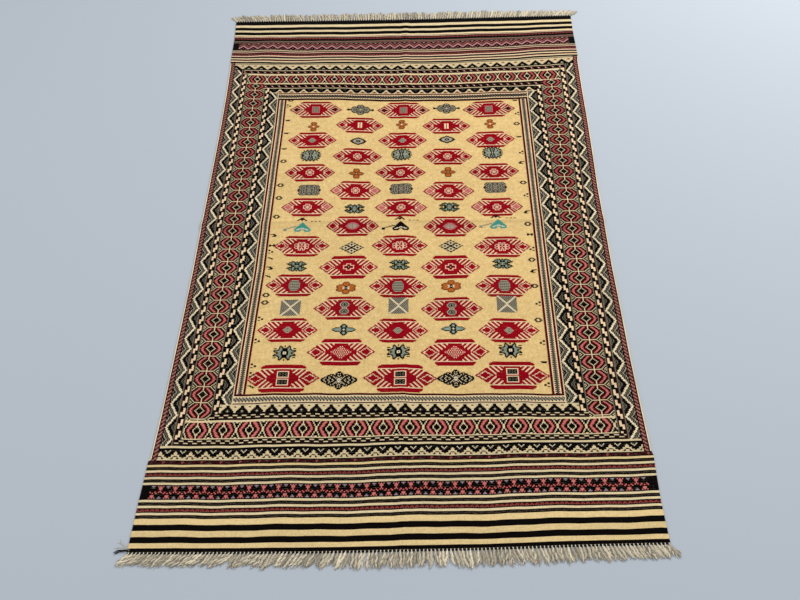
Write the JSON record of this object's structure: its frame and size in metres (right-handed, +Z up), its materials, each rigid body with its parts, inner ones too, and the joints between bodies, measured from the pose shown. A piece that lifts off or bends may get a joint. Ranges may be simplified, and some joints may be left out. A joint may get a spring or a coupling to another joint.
{
  "type": "soumak rug",
  "caption": "Rectangular flat-woven soumak rug with a patterned border, rows of medallions on a pale field, striped ends and a cotton fringe along each end.",
  "frame": {"origin": "on the floor, under the middle of the rug's bounding box, fringes included", "axes": "+X across the rug to the right, +Y along it from the near end to the far end, +Z up from the floor"},
  "size_m": [1.303, 1.9948, 0.0087],
  "materials": {
    "woven_wool": "matte soumak weave in cream, black, maroon, red and pink wool, with a plain-woven cream field",
    "cotton_fringe": "matte undyed cotton warp yarn, loosely plied"
  },
  "bodies": {
    "root": {"rug_cloth": "woven_wool", "fringe_near": "cotton_fringe", "fringe_far": "cotton_fringe"}
  },
  "joints": []
}
